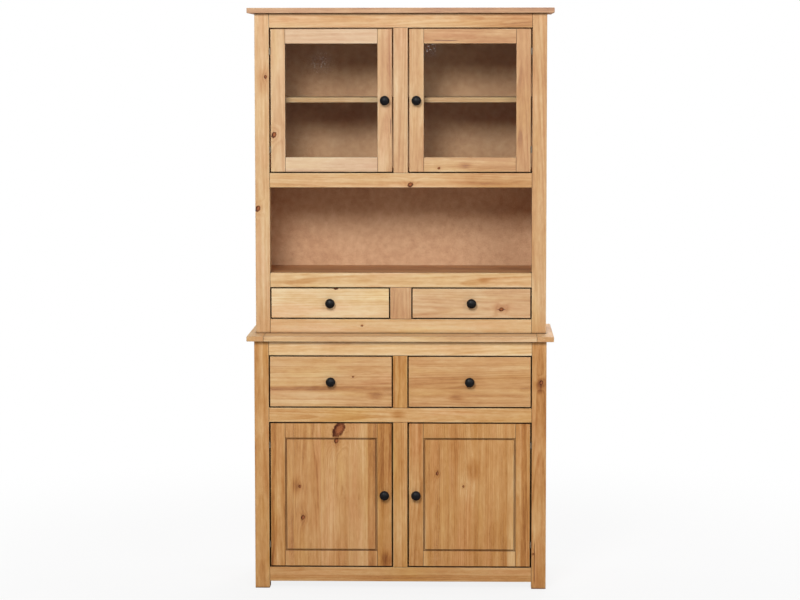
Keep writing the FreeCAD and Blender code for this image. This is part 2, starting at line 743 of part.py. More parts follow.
def build():
    """Every sub-part, from the floor up and then the moving pieces."""
    front_posts("base_front_posts", "front_y", "0", "base_top_z", "foot_height")
    base_side_panels()
    rail("base_bottom_rail", "front_y", "foot_height")
    rail("base_middle_rail", "front_y", "base_door_high_z")
    rail("base_top_rail", "front_y", "base_drawer_high_z")
    centre_posts("base_centre_posts", "front_y", (
        ("doors", "post_half", "base_door_low_z", "base_door_high_z"),
        ("drawers", "post_half", "base_drawer_low_z", "base_drawer_high_z")))
    notched_board("base_floor", "front_y", "base_door_low_z + door_stop_lip")
    loose_shelf("base_shelf", "front_y", "base_shelf_z")
    back_panel("base_back_panel", "foot_height", "base_top_z")
    rear_rails()
    worktop()

    front_posts("hutch_posts", "hutch_front_y", "worktop_z", "hutch_top_z", "worktop_z")
    hutch_side_panels()
    rail("hutch_low_rail", "hutch_front_y", "worktop_z")
    rail("hutch_niche_rail", "hutch_front_y", "hutch_drawer_high_z")
    rail("hutch_middle_rail", "hutch_front_y", "niche_high_z")
    rail("hutch_top_rail", "hutch_front_y", "glass_door_high_z")
    centre_posts("hutch_centre_posts", "hutch_front_y", (
        ("drawers", "wide_post_half", "hutch_drawer_low_z", "hutch_drawer_high_z"),
        ("doors", "post_half", "glass_door_low_z", "glass_door_high_z")))
    notched_board("niche_shelf", "hutch_front_y", "niche_low_z")
    notched_board("cupboard_floor", "hutch_front_y", "glass_door_low_z + door_stop_lip")
    loose_shelf("glazed_shelf", "hutch_front_y", "glazed_shelf_z")
    back_panel("hutch_back_panel", "worktop_z", "hutch_top_z")
    cornice_board()

    base_bay = ("post_half", "base_drawer_low_z")
    hutch_bay = ("wide_post_half", "hutch_drawer_low_z")
    node("drawer_runners", runners("base", "front_y", *base_bay)
         + runners("hutch", "hutch_front_y", *hutch_bay))
    node("drawer_stops", stops("base", *base_bay) + stops("hutch", *hutch_bay))
    shelf_pins()
    fixed_leaves()

    for word, side in SIDES:
        door, place = word + "_base_door", (side, "front_y", "base_door_low_z", "base_door_high_z")
        door_stiles(door, *place, "tongue_thick")
        door_board(door + "_board", *place)
        hang_door(door, *place)
        door, place = word + "_glass_door", (side, "hutch_front_y", "glass_door_low_z",
                                             "glass_door_high_z")
        door_stiles(door, *place, "glass_thick")
        door_rails(door, *place)
        glass_pane(door + "_pane", *place)
        hang_door(door, *place)
        drawer(word + "_base_drawer", side, "front_y", *base_bay, "base_drawer_high_z",
               "base_drawer_side")
        drawer(word + "_hutch_drawer", side, "hutch_front_y", *hutch_bay,
               "hutch_drawer_high_z", "hutch_drawer_side")


def check():
    """Stops before anything is written if a feature failed or a sub-part is not sound."""
    failed = [item.Name for item in doc.Objects if {"Invalid", "Error"} & set(item.State)]
    failed += [item.Label for item in NODES if item.Shape.isNull() or not item.Shape.isValid()]
    if failed:
        raise SystemExit("failed: " + ", ".join(failed))


def export():
    os.makedirs("parts", exist_ok=True)
    for item in NODES:
        item.Shape.exportStep("parts/%s.step" % item.Label)
    box = FreeCAD.BoundBox()
    for item in NODES:
        box.add(item.Shape.BoundBox)
    print("%d sub-parts, %d solids" % (len(NODES), sum(len(item.Shape.Solids) for item in NODES)))
    print("reach", box)


fill_sheet("Sizes", SIZES)
fill_sheet("Places", PLACES, "=")
build()
doc.recompute()
check()
export()
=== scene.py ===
import json
import math
import random

import bmesh
import bpy
from mathutils import Euler, Matrix, Vector

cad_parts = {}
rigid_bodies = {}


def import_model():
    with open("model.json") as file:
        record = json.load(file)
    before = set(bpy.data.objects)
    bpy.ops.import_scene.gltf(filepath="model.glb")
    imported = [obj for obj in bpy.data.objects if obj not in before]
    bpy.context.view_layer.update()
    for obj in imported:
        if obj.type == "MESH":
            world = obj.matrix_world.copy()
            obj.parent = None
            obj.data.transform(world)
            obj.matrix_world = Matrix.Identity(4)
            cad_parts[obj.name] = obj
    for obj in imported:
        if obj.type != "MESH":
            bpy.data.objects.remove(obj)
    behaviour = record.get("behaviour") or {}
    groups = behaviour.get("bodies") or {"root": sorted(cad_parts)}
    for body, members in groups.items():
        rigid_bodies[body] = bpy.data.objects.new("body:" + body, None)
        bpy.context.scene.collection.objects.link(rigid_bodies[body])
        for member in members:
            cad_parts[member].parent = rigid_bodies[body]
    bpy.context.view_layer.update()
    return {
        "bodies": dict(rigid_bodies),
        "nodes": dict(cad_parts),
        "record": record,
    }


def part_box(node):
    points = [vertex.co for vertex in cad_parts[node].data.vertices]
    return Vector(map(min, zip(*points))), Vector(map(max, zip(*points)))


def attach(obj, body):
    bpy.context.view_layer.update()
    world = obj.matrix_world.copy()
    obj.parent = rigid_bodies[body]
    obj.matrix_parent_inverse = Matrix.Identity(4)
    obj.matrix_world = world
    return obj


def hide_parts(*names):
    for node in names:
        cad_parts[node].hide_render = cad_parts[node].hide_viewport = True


# Kitchen cabinet in lacquered pine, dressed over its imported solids.
# Metres, +Z up, doors towards -Y. Each timber node is copied, its boards are told apart, and each
# board gets its own grain, tone and knots, which the pine finish reads from the mesh.

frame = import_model()
BODY_OF = {node: body for body, nodes in frame["record"]["behaviour"]["bodies"].items()
           for node in nodes}

# Mesh work
WELD = 1e-6
FLAT_ANGLE = math.radians(0.5)
EASED_ANGLE = math.radians(50)
# How squarely a face lies: less than the first share is an eased edge, and more than the second
# share along the grain is end grain
EASED_SHARE, END_SHARE = 0.99, 0.7

# The timber, in metres
RING_SPACING = 0.0046
STRIP_WIDTH = 0.085
STRIP_WIDTH_SHARES, STRIP_STARTS = (0.85, 1.15), (0.3, 0.7)
STRIP_CONTRAST = 0.12
ONE_PIECE = 10.0
# Where the heart of the log may lie: aside, as shares of the width of a board that isn't too wide,
# how far under the board, and how much it slopes
HEART_ASIDE_SHARES, WIDE_BOARD = (-0.6, 0.6), 0.1
HEART_UNDER, HEART_SLOPES = (0.006, 0.045), (0.006, 0.026)
NO_KNOT, NO_SPOT = (9.0, 9.0, 0.001), (9.0, 9.0, 0.01)
FAR_OFF = (9.0, 9.0, 9.0)
TOUCH = 0.002
BOARD_NAMES = (
    "board_traits", "board_heart", "board_strips", "board_band", "board_patch", "board_crack")
KNOT_NAMES = ("knot_one", "knot_two", "knot_three", "knot_four")

# How deep the colour of each board is, from pale sapwood (0) to dark heartwood (1), for the boards
# of a node in order from left to right and then upwards. The depths also hold painted shade: boards
# lower down and to the right are set darker, where less light falls, and the niche's shelf is set dark
# for the shade inside the niche
DEPTHS_WITH_PAINTED_SHADE = {
    "base_front_posts": (0.52, 0.54),
    "base_centre_posts": (0.48, 0.52),
    "base_bottom_rail": (0.45,),
    "base_middle_rail": (0.39,),
    "base_top_rail": (0.24,),
    "worktop": (0.27,),
    "worktop_ends": (0.30, 0.34),
    "hutch_posts": (0.32, 0.40),
    "hutch_low_rail": (0.23,),
    "hutch_niche_rail": (0.26,),
    "hutch_middle_rail": (0.30,),
    "hutch_top_rail": (0.28,),
    "hutch_centre_posts": (0.44, 0.34),
    "cornice_board": (0.54,),
    "left_glass_door_stiles": (0.30, 0.40),
    "left_glass_door_rails": (0.26, 0.27),
    "right_glass_door_stiles": (0.43, 0.50),
    "right_glass_door_rails": (0.43, 0.44),
    "left_hutch_drawer_front": (0.15,),
    "right_hutch_drawer_front": (0.31,),
    "left_base_drawer_front": (0.40,),
    "right_base_drawer_front": (0.45,),
    "left_base_door_stiles": (0.51, 0.60),
    "left_base_door_board": (0.48,),
    "right_base_door_stiles": (0.51, 0.51),
    "right_base_door_board": (0.50,),
    "glazed_shelf": (0.31,),
    "niche_shelf": (0.63,),
    "cupboard_floor": (0.52,),
    "hutch_side_panels": (0.42, 0.44),
}
# For boards that aren't listed
PLAIN_DEPTH = 0.36
DEPTH_SPREAD = 0.05
PLAIN_ROSE_SHARE = 0.03
# How much of each node's colour is the greyish rose of slow-grown boards
ROSE_SHARES = {
    "cornice_board": 0.20,
    "right_hutch_drawer_front": 0.12,
    "left_glass_door_rails": 0.24,
    "left_glass_door_stiles": 0.14,
    "right_glass_door_stiles": 0.12,
    "right_glass_door_rails": 0.12,
    "hutch_posts": 0.09,
    "hutch_centre_posts": 0.13,
    "hutch_top_rail": 0.08,
    "hutch_middle_rail": 0.06,
    "glazed_shelf": 0.10,
    "niche_shelf": 0.08,
    "worktop": 0.10,
    "worktop_ends": 0.06,
    "left_base_drawer_front": 0.06,
    "right_base_drawer_front": 0.05,
}


def on_base(x, z):
    """A point on the front of the base."""
    return x, -0.1775, z


def on_hutch(x, z):
    """A point on the front of the hutch."""
    return x, -0.1025, z


# Deeper bands along the grain: a point that the band goes through, its half width and its depth
BANDS = {
    "left_base_door_board": (on_base(-0.0875, 0.3), 0.012, 0.18),
    "left_base_door_stiles": (on_base(-0.394, 0.3), 0.009, 0.16),
    "right_base_door_stiles": (on_base(0.383, 0.3), 0.009, 0.16),
    "left_base_drawer_front": (on_base(-0.24, 0.628), 0.007, 0.14),
    "right_base_drawer_front": (on_base(0.24, 0.645), 0.018, 0.09),
    "hutch_top_rail": (on_hutch(0.0, 1.77), 0.006, 0.08),
    "hutch_middle_rail": (on_hutch(0.0, 1.259), 0.006, 0.06),
    "hutch_centre_posts": (on_hutch(0.0, 1.5), 0.007, 0.06),
    "left_glass_door_stiles": (on_hutch(-0.03, 1.5), 0.006, 0.09),
    "cornice_board": ((0.0, -0.1225, 1.792), 0.06, 0.08),
    "base_bottom_rail": (on_base(0.0, 0.034), 0.008, 0.09),
}
NO_BAND = (9.0, 0.01, 0.0)

# Deeper patches with soft edges: a point on the face and the patch's radius
PATCHES_AND_PAINTED_SHADE = {
    "hutch_posts": (on_hutch(-0.425, 1.58), 0.024),
    # The wide patches on the right of the top and middle rails are partly painted shade: they make those
    # rails darker towards the right, where less light falls
    "hutch_top_rail": (on_hutch(0.33, 1.762), 0.11),
    "hutch_middle_rail": (on_hutch(0.32, 1.268), 0.1),
    "left_base_door_stiles": (on_base(-0.045, 0.088), 0.014),
    "right_base_door_board": (on_base(0.226, 0.372), 0.019),
    "left_base_door_board": (on_base(-0.322, 0.324), 0.016),
    "left_base_drawer_front": (on_base(-0.078, 0.606), 0.015),
    "right_base_drawer_front": (on_base(0.175, 0.598), 0.014),
    "base_middle_rail": (on_base(-0.006, 0.545), 0.014),
    "base_front_posts": (on_base(0.43, 0.64), 0.014),
    "right_glass_door_rails": (on_hutch(0.2, 1.312), 0.012),
    "hutch_niche_rail": (on_hutch(0.26, 0.958), 0.012),
    "right_hutch_drawer_front": (on_hutch(0.313, 0.87), 0.016),
}

# Fine dark cracks along the grain: a point in the middle of the crack and half its length
CRACKS = {
    "base_front_posts": (on_base(0.4165, 0.085), 0.08),
    "right_base_door_board": (on_base(0.1165, 0.364), 0.01),
    "right_glass_door_rails": (on_hutch(0.14, 1.7), 0.045),
    "left_glass_door_stiles": (on_hutch(-0.0305, 1.435), 0.03),
    "right_hutch_drawer_front": (on_hutch(0.313, 0.8665), 0.015),
    "left_hutch_drawer_front": (on_hutch(-0.202, 0.9325), 0.012),
}
CRACK_HALF_WIDTH = 0.0016

# Boards that are glued up from strips side by side
GLUED_UP = (
    "base_side_panels", "hutch_side_panels", "worktop", "base_floor", "base_shelf", "niche_shelf",
    "cupboard_floor", "glazed_shelf", "cornice_board", "left_base_door_board",
    "right_base_door_board")

# Knots by node: a point on the board's face and the knot's radius
KNOTS = {
    "hutch_posts": ((on_hutch(-0.444, 1.18), 0.0075), (on_hutch(-0.418, 1.588), 0.0045)),
    "left_glass_door_stiles": ((on_hutch(-0.3925, 1.409), 0.0075),),
    "right_glass_door_rails": ((on_hutch(0.119, 1.306), 0.0035),),
    "hutch_middle_rail": ((on_hutch(0.03, 1.2545), 0.0072),),
    "right_hutch_drawer_front": ((on_hutch(0.313, 0.8665), 0.006),),
    "left_hutch_drawer_front": ((on_hutch(-0.202, 0.9325), 0.0055),),
    "hutch_low_rail": ((on_hutch(-0.121, 0.815), 0.003),),
    "left_base_door_board": ((on_base(-0.191, 0.499), 0.0185), (on_base(-0.303, 0.223), 0.006),
                             (on_base(-0.312, 0.3206), 0.004), (on_base(-0.1985, 0.464), 0.0065)),
    "right_base_door_board": ((on_base(0.1148, 0.3625), 0.0045), (on_base(0.196, 0.322), 0.003)),
    "base_front_posts": ((on_base(0.4364, 0.6466), 0.006), (on_base(0.413, 0.11), 0.003)),
    "left_base_drawer_front": ((on_base(-0.146, 0.664), 0.0028),),
    "base_side_panels": (((0.44, -0.05, 0.56), 0.009), ((0.44, 0.11, 0.26), 0.012),
                         ((-0.44, 0.06, 0.42), 0.011), ((-0.44, -0.08, 0.18), 0.006)),
    "hutch_side_panels": (((0.44, 0.03, 1.15), 0.01), ((0.44, 0.12, 1.56), 0.007),
                          ((-0.44, 0.09, 1.32), 0.012), ((-0.44, 0.0, 0.96), 0.007)),
    "worktop": (((0.24, -0.14, 0.791), 0.006), ((-0.33, 0.06, 0.791), 0.011)),
    "cornice_board": (((-0.29, 0.08, 1.8), 0.01), ((0.31, -0.04, 1.8), 0.008)),
}

PINE_NODES = tuple(DEPTHS_WITH_PAINTED_SHADE) + ("base_side_panels", "base_floor", "base_shelf")
INNER_PINE_NODES = (
    "rear_rails", "drawer_runners", "drawer_stops", "left_base_drawer_box",
    "right_base_drawer_box", "left_hutch_drawer_box", "right_hutch_drawer_box")
HARDBOARD_NODES = ("base_back_panel", "hutch_back_panel")
DOORS = ("left_base_door", "right_base_door", "left_glass_door", "right_glass_door")
STEEL_NODES = ("hinge_leaves", "shelf_pins") + tuple(door + "_hinge_leaves" for door in DOORS)
PANE_NODES = ("left_glass_door_pane", "right_glass_door_pane")
KNOB_NODES = tuple(node for node in BODY_OF if node.endswith("_knob"))


def colour(red, green, blue):
    """A colour written in display values from 0 to 255, as the shaders want it."""
    return tuple(((value / 255 + 0.055) / 1.055) ** 2.4 for value in (red, green, blue)) + (1.0,)


# Short ways to build a material


def feed(tree, socket, value):
    """Links a socket to another one, or sets its value."""
    if isinstance(value, bpy.types.NodeSocket):
        tree.links.new(value, socket)
    else:
        socket.default_value = value


def add_node(tree, kind, settings=None, **inputs):
    """A new node. An input's words are joined by _, and its value is a number or a socket."""
    node = tree.nodes.new(kind)
    for key, value in (settings or {}).items():
        setattr(node, key, value)
    for key, value in inputs.items():
        feed(tree, node.inputs[key.replace("_", " ")], value)
    return node


def fill(tree, node, *values):
    """A node with its first inputs fed in their own order."""
    for socket, value in zip(node.inputs, values):
        feed(tree, socket, value)
    return node


def maths(tree, operation, *values):
    """What an operation on numbers or sockets comes to."""
    node = add_node(tree, "ShaderNodeMath", {"operation": operation})
    return fill(tree, node, *values).outputs[0]


class Recipe:
    """A material under construction."""

    def __init__(self, name):
        self.material = bpy.data.materials.new(name)
        self.material.use_nodes = True
        self.tree = self.material.node_tree
        self.tree.nodes.clear()

    def add(self, kind, settings=None, **inputs):
        return add_node(self.tree, "ShaderNode" + kind, settings, **inputs)

    def maths(self, operation, *values):
        return maths(self.tree, operation, *values)

    def times(self, first, second):
        return self.maths("MULTIPLY", first, second)

    def minus(self, first, second):
        return self.maths("SUBTRACT", first, second)

    def over(self, first, second):
        return self.maths("DIVIDE", first, second)

    def total(self, *values):
        result = values[0]
        for value in values[1:]:
            result = self.maths("ADD", result, value)
        return result

    def weighed(self, layers, weights):
        """The sum of the layers that have a weight, each times its weight."""
        return self.total(*[self.times(layers[name], weight) for name, weight in weights.items()])

    def length(self, first, second):
        """How long a line is that goes so far one way and so far square to it."""
        return self.maths("SQRT", self.total(
            self.maths("POWER", first, 2.0), self.maths("POWER", second, 2.0)))

    def span(self, value, low, high, start=0.0, stop=1.0, smooth=True):
        """A value from low to high turned into one from start to stop."""
        node = self.add("MapRange", {"interpolation_type": "SMOOTHSTEP" if smooth else "LINEAR"},
                        Value=value, From_Min=low, From_Max=high, To_Min=start, To_Max=stop)
        return node.outputs["Result"]

    def vector(self, x, y, z):
        return self.add("CombineXYZ", X=x, Y=y, Z=z).outputs[0]

    def parts(self, vector):
        """The three numbers of a vector."""
        return tuple(self.add("SeparateXYZ", Vector=vector).outputs)

    def carried(self, name):
        """The three numbers that the mesh carries under a name."""
        return self.parts(self.add("Attribute", {"attribute_name": name}).outputs["Vector"])

    def own_place(self):
        """A point's place in the object's own metres."""
        return self.add("TexCoord").outputs["Object"]

    def distance(self, operation, *vectors):
        """The length of a vector, or the distance between two."""
        node = self.add("VectorMath", {"operation": operation})
        return fill(self.tree, node, *vectors).outputs["Value"]

    def chance(self, first, second):
        """White noise that a pair of whole numbers picks."""
        return self.add("TexWhiteNoise", {"noise_dimensions": "2D"},
                        Vector=self.vector(first, second, 0.0))

    def cloud(self, place, scale, detail=2.0, roughness=0.5):
        """Soft noise from 0 to 1, with its steps per unit of the place."""
        return self.add("TexNoise", Vector=place, Scale=scale, Detail=detail,
                        Roughness=roughness).outputs["Fac"]

    def noise(self, place, detail=2.0):
        """Soft noise about zero, from -0.5 to 0.5, in the place's own units."""
        return self.minus(self.cloud(place, 1.0, detail), 0.5)

    def stretched(self, place, scales):
        """A place with its own scale along each axis."""
        return self.add("Mapping", Vector=place, Scale=scales).outputs[0]

    def ramp(self, share, stops):
        """A colour picked from a row of colours by a share."""
        node = self.add("ValToRGB", Fac=share)
        points = node.color_ramp.elements
        while len(points) < len(stops):
            points.new(0.5)
        for point, (place, tint) in zip(points, stops):
            point.position = place
            point.color = tint
        return node.outputs["Color"]

    def mix(self, share, first, second, blend="MIX"):
        """Two colours, the second one by a share."""
        node = self.add("Mix", {"data_type": "RGBA", "blend_type": blend})
        for index, value in ((0, share), (6, first), (7, second)):
            feed(self.tree, node.inputs[index], value)
        return node.outputs[2]

    def bump(self, height, distance, strength):
        return self.add("Bump", Height=height, Distance=distance, Strength=strength).outputs[0]

    def surface(self, tint, roughness, relief, **inputs):
        """A finish of a colour with a roughness and a relief: height, distance and strength."""
        return self.finish(self.add("BsdfPrincipled", Base_Color=tint, Roughness=roughness,
                                    Normal=self.bump(*relief), **inputs))

    def blend(self, share, first, second):
        """Two shaders, the second one by a share."""
        return fill(self.tree, self.add("MixShader"), share, first.outputs[0], second.outputs[0])

    def finish(self, shader):
        self.add("OutputMaterial", Surface=shader.outputs[0])
        return self.material


# Pine

PALE_TO_DARK = (
    (0.0, colour(232, 209, 168)), (0.2, colour(220, 185, 136)), (0.4, colour(203, 156, 101)),
    (0.6, colour(182, 126, 69)), (0.8, colour(138, 82, 38)), (1.0, colour(80, 38, 16)))
RAW_PALE_TO_DARK = (
    (0.0, colour(244, 224, 192)), (0.2, colour(234, 205, 164)), (0.4, colour(220, 183, 138)),
    (0.6, colour(203, 160, 112)), (0.8, colour(166, 116, 72)), (1.0, colour(112, 66, 36)))
# Brown of the glue lines between strips, and of the painted shade in corners and joints
GLUE_AND_SHADE_BROWN = colour(62, 27, 6)
KNOT_RED = colour(168, 100, 60)
KNOT_DARK = colour(74, 34, 17)
ROSE = colour(204, 192, 196)
ROSE_CAST = (1.0, 0.91, 0.92, 1.0)
STRAW_CAST = (1.0, 1.0, 0.84, 1.0)

# The kinds of noise in the timber: their steps per metre along the grain and across it, their
# detail, and how far along from the others they start
GRAIN_NOISES = {
    "slow": (2.4, 9.0, 1.0, 0.0),
    "hue": (3.2, 21.0, 2.0, 7.0),
    "ripple": (11.0, 60.0, 2.0, 0.0),
    "wobble": (190.0, 190.0, 3.0, 0.0),
    "fibre": (22.0, 900.0, 3.0, 0.0),
    "streak": (2.2, 75.0, 3.0, 0.0),
    "blotch": (5.0, 15.0, 2.0, 0.0),
    "fleck": (38.0, 150.0, 3.0, 0.0),
    "duct": (85.0, 2100.0, 1.0, 0.0),
}
# How far apart boards and strips lie in the noise
BOARD_SHIFT, STRIP_SHIFT = 37.0, 40.0
# How far the noise bends the rings, a band and a crack, in metres
SLOW_WARP, RIPPLE_WARP, SLOW_LIFT, BAND_WARP, CRACK_WARP = 0.020, 0.0034, 0.012, 0.010, 0.004
# How years of narrow and wide rings follow each other, in steps per metre from the heart
YEAR_STEPS = 55.0
# How far a knot leans over, per metre of its radius
KNOT_LEAN = 19.0
# How wide a knot is as a share of its length, how uneven its edge, and the rings inside it
KNOT_WIDTH_SHARE, KNOT_WOBBLE, KNOT_RINGS = 0.78, 0.9, 2.6
# How hard a knot pulls the rings round it, and how soon that fades
KNOT_PULL, KNOT_FADE = 1.3, -0.16
# How much each thing deepens the colour
DEEPENED_BY = {
    "late_wood": 0.13,
    "fibre": 0.26,
    "streak": 0.54,
    "blotch": 0.46,
    "fleck": 0.32,
    "crack": 0.75,
    "duct": 0.07,
    "patch": 0.19,
    "halo": 0.10,
    "end_grain": 0.16,
    # A negative weight, so the eased edges get a painted highlight
    "eased_edge_highlight": -0.13,
}
EARLY_WOOD_DEPTH = -0.045
STRIP_TONES = 1.4
# How each thing stands out of the surface, and what it does to the roughness
RELIEF = {"late_wood": 0.5, "fibre": 0.7, "duct": -0.5}
ROUGHENED_BY = {"fibre": 0.10, "late_wood": -0.05}
# Where the colour turns to rose or straw, how far it turns, and how much of a glue line shows
CAST_REACH, CAST_SHARE, GLUE_LINE_SHARE = 0.22, 0.9, 0.45
# Painted shade in corners, creases and joints, from ambient occlusion: how far out of a corner it
# reaches
CORNER_SHADE_REACH = 0.008
# Between which values the soft edges lie
KNOT_EDGE, BAND_EDGE, PATCH_EDGE, CRACK_EDGE = (1.08, 0.94), (1.15, 0.9), (1.3, 0.2), (1.0, 0.5)
LATE_RISE, LATE_FALL, DUCT_EDGE, CORNER_SHADE_EDGE = (0.25, 0.86), (1.0, 0.88), (0.2, 0.28), (0.94, 0.36)


class Pine(Recipe):
    """A pine finish under construction, which reads each board's own grain from the mesh."""

    def __init__(self, name):
        super().__init__(name)
        self.along, self.across, self.depth = self.carried("grain_place")
        self.seed, self.tone, self.rose = self.carried("board_traits")
        width, self.strip_contrast, start = self.carried("board_strips")
        self.strip_place = self.total(self.over(self.across, width), start)
        strip_chance = self.chance(self.maths("FLOOR", self.strip_place), self.seed)
        self.strip_chances = self.parts(strip_chance.outputs["Color"])
        self.shift = self.total(self.times(self.seed, BOARD_SHIFT),
                                self.times(self.strip_chances[0], STRIP_SHIFT))
        self.noises = {kind: self.grain_noise(*settings) for kind, settings in GRAIN_NOISES.items()}
        self.wobble = self.times(self.noises["wobble"], KNOT_WOBBLE)

    def grain_noise(self, steps_along, steps_across, detail, start):
        """Noise that is drawn out along the grain."""
        return self.noise(self.vector(
            self.maths("MULTIPLY_ADD", self.along, steps_along, self.total(self.shift, start)),
            self.times(self.across, steps_across), self.times(self.depth, steps_across)), detail)

    def knots(self):
        """What the knots do to a board: the pull on the rings, the halo, the knots and their dark."""
        pull, halo, mark, dark = 0.0, 0.0, 0.0, 0.0
        for name in KNOT_NAMES:
            knot_along, knot_across, radius = self.carried(name)
            far_along = self.minus(self.along, knot_along)
            lean = self.times(self.times(far_along, radius), -KNOT_LEAN)
            far_across = self.total(lean, self.minus(self.across, knot_across))
            reach = self.length(self.times(far_along, KNOT_WIDTH_SHARE), far_across)
            share = self.total(self.over(reach, radius), self.wobble)
            swirl = self.maths("EXPONENT", self.times(
                self.maths("POWER", self.maths("MAXIMUM", share, 0.0), 2.0), KNOT_FADE))
            pull = self.total(pull, self.times(swirl, radius))
            halo = self.total(halo, swirl)
            knot = self.span(share, *KNOT_EDGE)
            mark = self.maths("MAXIMUM", mark, knot)
            rim = self.times(self.span(share, 0.2, 1.0), 0.8)
            own_rings = self.times(
                self.maths("PINGPONG", self.times(share, KNOT_RINGS), 0.5), 0.5)
            shady_side = self.span(self.over(far_across, radius), 0.2, -1.0, 0.0, 0.6)
            dark = self.maths("MAXIMUM", dark, self.times(
                knot, self.total(rim, own_rings, shady_side)))
        return pull, halo, mark, dark

    def late_wood(self, pull):
        """The dark wood that ends each year's ring about the heart of the log, from 0 to 1."""
        heart_aside, heart_under, slope = self.carried("board_heart")
        slow = self.noises["slow"]
        warp = self.weighed(self.noises, {"slow": SLOW_WARP, "ripple": RIPPLE_WARP})
        aside = self.total(self.minus(self.total(self.across, warp), heart_aside),
                           self.times(self.strip_chances[1], self.strip_contrast))
        under = self.total(self.minus(self.depth, heart_under), self.times(self.along, slope),
                           self.times(slow, SLOW_LIFT))
        from_heart = self.length(aside, under)
        years = self.total(
            self.over(self.maths("MULTIPLY_ADD", pull, KNOT_PULL, from_heart), RING_SPACING),
            self.noise(self.vector(self.times(from_heart, YEAR_STEPS), self.shift, 0.0), 1.0))
        season = self.maths("FRACT", years)
        year_chance = self.chance(self.maths("FLOOR", years), self.seed).outputs["Value"]
        return self.times(
            self.times(self.span(season, *LATE_RISE), self.span(season, *LATE_FALL)),
            self.span(year_chance, 0.0, 1.0, 0.35, 1.0, smooth=False))

    def band(self):
        """How much a band along the grain deepens the colour."""
        middle, half_width, deeper = self.carried("board_band")
        share = self.over(self.minus(self.total(
            self.across, self.times(self.noises["slow"], BAND_WARP)), middle), half_width)
        uneven = self.span(self.noises["streak"], -0.25, 0.05, 0.45, 1.0)
        return self.times(self.span(self.maths("ABSOLUTE", share), *BAND_EDGE),
                          self.times(deeper, uneven))

    def patch(self):
        """How far a point is inside its board's patch, from 0 to 1."""
        middle_along, middle_across, radius = self.carried("board_patch")
        away = self.length(self.times(self.minus(self.along, middle_along), 0.5),
                           self.minus(self.across, middle_across))
        share = self.total(self.over(away, radius), self.times(self.noises["streak"], 1.5))
        return self.span(share, *PATCH_EDGE)

    def crack(self):
        """How far a point is inside its board's crack, from 0 to 1."""
        middle_along, middle_across, half_length = self.carried("board_crack")
        aside = self.maths("ABSOLUTE", self.minus(self.total(
            self.across, self.times(self.noises["ripple"], CRACK_WARP)), middle_across))
        share = self.maths("ABSOLUTE", self.over(self.minus(self.along, middle_along), half_length))
        return self.times(self.span(share, *CRACK_EDGE), self.span(aside, CRACK_HALF_WIDTH, 0.0))

    def cast(self, tint):
        """The wood's colour, turned to rose in some places and to straw in others."""
        for shade, reach in ((ROSE_CAST, CAST_REACH), (STRAW_CAST, -CAST_REACH)):
            share = self.span(self.noises["hue"], 0.0, reach, 0.0, CAST_SHARE)
            tint = self.mix(share, tint, shade, "MULTIPLY")
        return self.mix(self.rose, tint, ROSE)

    def glue_lines_and_painted_shade(self, tint):
        """The colour with the glue lines between strips, and painted shade that darkens every corner,
        crease and joint, from ambient occlusion.
        """
        glue_line = self.span(self.maths("PINGPONG", self.strip_place, 0.5), 0.004, 0.0)
        tint = self.mix(self.times(glue_line, GLUE_LINE_SHARE), tint, GLUE_AND_SHADE_BROWN)
        # Painted shade: ambient occlusion darkens the wood in corners, creases and gaps, and round the
        # knobs
        corner = self.add("AmbientOcclusion", {"samples": 6}, Distance=CORNER_SHADE_REACH).outputs["AO"]
        return self.mix(self.span(corner, *CORNER_SHADE_EDGE, smooth=False), tint, GLUE_AND_SHADE_BROWN)


def pine_finish(name, shades, roughness, gleam):
    """Pine with growth rings, fibres, blotches and knots."""
    pine = Pine(name)
    pull, halo, mark, knot_dark = pine.knots()
    # Eased faces are lightened: a painted highlight along the board's edges
    end_grain, eased_edge_highlight = pine.carried("worked_face")[:2]
    layers = dict(
        pine.noises, late_wood=pine.late_wood(pull), halo=halo, crack=pine.crack(),
        patch=pine.patch(), duct=pine.span(pine.noises["duct"], *DUCT_EDGE), end_grain=end_grain,
        eased_edge_highlight=eased_edge_highlight)
    strip_tone = pine.times(pine.minus(pine.strip_chances[2], 0.5),
                            pine.times(pine.strip_contrast, STRIP_TONES))
    shade = pine.total(pine.tone, strip_tone, pine.weighed(layers, DEEPENED_BY), EARLY_WOOD_DEPTH,
                       pine.band())
    tint = pine.cast(pine.ramp(shade, shades))
    knot_tint = pine.mix(pine.total(knot_dark, pine.wobble), KNOT_RED, KNOT_DARK)
    tint = pine.glue_lines_and_painted_shade(pine.mix(mark, tint, knot_tint))
    return pine.surface(
        tint, pine.total(roughness, pine.weighed(layers, ROUGHENED_BY)),
        (pine.weighed(layers, RELIEF), 0.00025, 0.45), Specular_IOR_Level=gleam)


# Other finishes

HARDBOARD_SHADES = (
    (0.30, colour(158, 110, 76)), (0.47, colour(198, 154, 116)), (0.60, colour(216, 176, 138)),
    (0.75, colour(228, 194, 158)))
HARDBOARD_REAR = colour(120, 82, 54)
# The threads of the weave that the press's screen leaves, in steps per metre
WEAVE_SCALES = ((620.0, 100.0, 60.0), (60.0, 100.0, 620.0))
KNOB_BLACK, KNOB_RUBBED = colour(9, 9, 12), colour(50, 40, 34)
STEEL_DULL, STEEL_BRIGHT = colour(100, 92, 80), colour(148, 138, 122)
DRAWING_LINES = (300.0, 300.0, 3000.0)
PANE_MIRROR, PANE_CLEAR = (0.88, 0.89, 0.90, 1.0), (0.94, 0.95, 0.94, 1.0)
GLASS_BENDING = 1.5
# Where a hand or a cloth has left smudges on the glass, how far they reach, and what they do
SMUDGES = (((-0.246, -0.098, 1.632), 0.055), ((0.088, -0.098, 1.676), 0.050))
SMUDGE_ROUGHNESS, SMUDGE_SHARE = 0.5, 0.20
# Clouds on the glass: steps per metre, detail and roughness
SPECKS, GLOSS_PATCHES, WAVES = (190.0, 3.0, 0.6), (16.0, 4.0, 0.6), (7.0, 1.0, 0.4)


